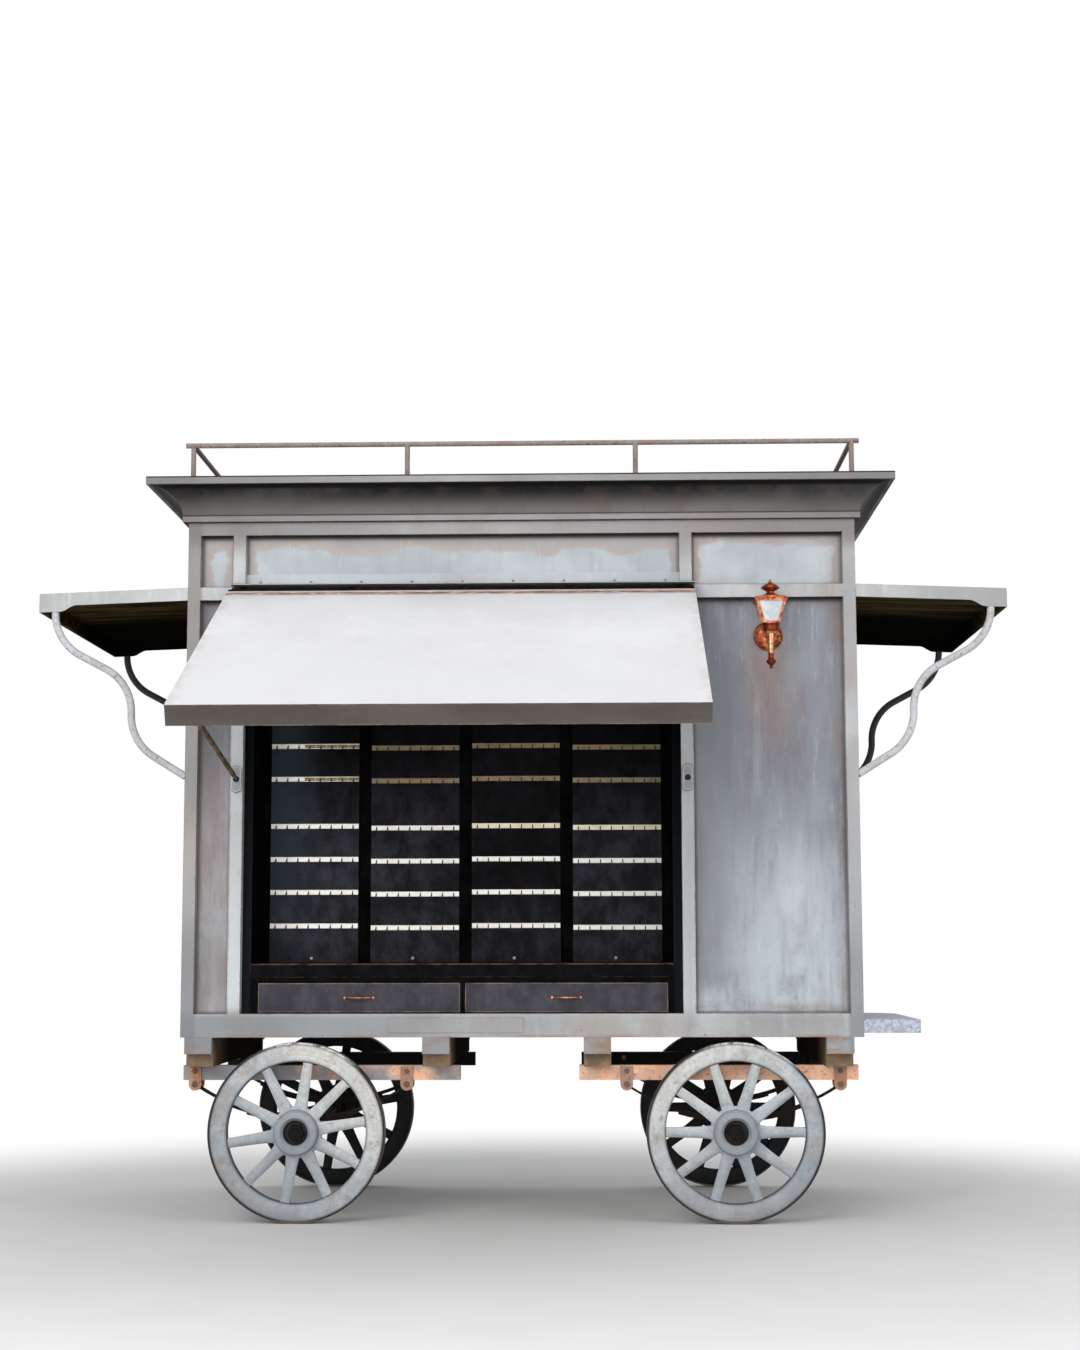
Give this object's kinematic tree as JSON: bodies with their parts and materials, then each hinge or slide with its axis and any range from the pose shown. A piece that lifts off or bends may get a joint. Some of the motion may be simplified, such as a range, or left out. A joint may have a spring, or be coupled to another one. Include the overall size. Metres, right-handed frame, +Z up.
{
  "type": "vendor cart",
  "caption": "Wheeled vendor kiosk cart with a hinged awning and stay, display recess, drawers, side canopies, roof rail and wall lamp.",
  "frame": {"origin": "on the ground at the middle of the whole cart's footprint, awning open", "axes": "+X along the serving front, to the right seen from the front; +Y from front to back; +Z up"},
  "size_m": [3.91, 2.8958, 3.146],
  "materials": {
    "frame_paint": "weathered blue-grey paint",
    "panel_paint": "weathered blue-grey paint with bare streaks",
    "roof_paint": "weathered grey paint",
    "awning_paint": "chalky pale grey paint",
    "rust_paint": "grey paint over pinkish rust",
    "dark_iron": "dark oiled iron",
    "pale_pipe": "pale grey paint, chipped",
    "dark_board": "satin black stain",
    "black_board": "matt black",
    "white_strip": "matt cream",
    "hook_wire": "dull steel",
    "copper": "aged copper",
    "milk_glass": "milky",
    "wheel_paint": "pale blue-grey paint over wood",
    "tyre_iron": "worn iron",
    "stone_grey": "speckled blue-grey",
    "floor_wood": "raw boards",
    "gauze_grey": "galvanised"
  },
  "bodies": {
    "cart": {"floor_boards": "floor_wood", "front_frame": "frame_paint", "front_panels": "panel_paint", "side_frames": "frame_paint", "side_panels": "panel_paint", "rear_frame": "frame_paint", "rear_panels": "panel_paint", "neck_moulding": "frame_paint", "cornice": "roof_paint", "roof_board": "roof_paint", "roof_rail": "rust_paint", "left_canopy": "roof_paint", "right_canopy": "roof_paint", "canopy_brackets": "pale_pipe", "side_ledge": "stone_grey", "bare_plate": "frame_paint", "drip_flashing": "gauze_grey", "flashing_screws": "gauze_grey", "hinge_brackets": "dark_iron", "hinge_pin": "dark_iron", "stay_sockets": "frame_paint", "recess_lining": "black_board", "display_boards": "dark_board", "label_strips": "white_strip", "strip_hooks": "hook_wire", "board_knobs": "hook_wire", "counter_ledge": "dark_board", "drawer_case": "black_board", "lamp_wall_plate": "copper", "lamp_arm": "copper", "lantern_frame": "copper", "lantern_panes": "milk_glass", "lantern_roof": "copper", "lamp_bulb": "milk_glass", "legs": "rust_paint", "cross_beams": "rust_paint", "side_bars": "rust_paint", "shackle_plates": "rust_paint", "shackle_pins": "dark_iron", "leaf_springs": "dark_iron", "axles": "dark_iron", "axle_nuts": "dark_iron"},
    "awning": {"awning_pan": "awning_paint", "hinge_leaf": "rust_paint", "stay_clevis": "dark_iron"},
    "stay": {"stay_bar": "rust_paint"},
    "left_drawer": {"left_drawer": "dark_board", "left_pull": "copper"},
    "right_drawer": {"right_drawer": "dark_board", "right_pull": "copper"},
    "front_left_wheel": {"wheel_front_left": "wheel_paint", "tyre_front_left": "tyre_iron"},
    "front_right_wheel": {"wheel_front_right": "wheel_paint", "tyre_front_right": "tyre_iron"},
    "rear_left_wheel": {"wheel_rear_left": "wheel_paint", "tyre_rear_left": "tyre_iron"},
    "rear_right_wheel": {"wheel_rear_right": "wheel_paint", "tyre_rear_right": "tyre_iron"}
  },
  "joints": [
    {"name": "awning_close", "type": "hinge", "parent": "cart", "child": "awning", "pos_m": [-0.235, -0.17714, 2.498], "axis": [1, 0, 0], "range_deg": [0, 64]},
    {"name": "stay_swing", "type": "hinge", "parent": "awning", "child": "stay", "pos_m": [-1.141, -1.28141, 1.93982], "axis": [0, -0.1633, -0.9866], "range_deg": [0, 90]},
    {"name": "left_drawer_slide", "type": "slide", "parent": "cart", "child": "left_drawer", "axis": [0, -1, 0], "range_m": [0, 0.24]},
    {"name": "right_drawer_slide", "type": "slide", "parent": "cart", "child": "right_drawer", "axis": [0, -1, 0], "range_m": [0, 0.24]},
    {"name": "front_left_wheel_spin", "type": "hinge", "parent": "cart", "child": "front_left_wheel", "pos_m": [-0.886, -0.06864, 0.35], "axis": [0, 1, 0], "continuous": true},
    {"name": "front_right_wheel_spin", "type": "hinge", "parent": "cart", "child": "front_right_wheel", "pos_m": [0.843, -0.06864, 0.35], "axis": [0, 1, 0], "continuous": true},
    {"name": "rear_left_wheel_spin", "type": "hinge", "parent": "cart", "child": "rear_left_wheel", "pos_m": [-0.886, 1.26636, 0.35], "axis": [0, 1, 0], "continuous": true},
    {"name": "rear_right_wheel_spin", "type": "hinge", "parent": "cart", "child": "rear_right_wheel", "pos_m": [0.843, 1.26636, 0.35], "axis": [0, 1, 0], "continuous": true}
  ],
  "couplings": [
    {"joint": "stay_swing", "follows": "awning_close", "ratio": 1.4062}
  ]
}
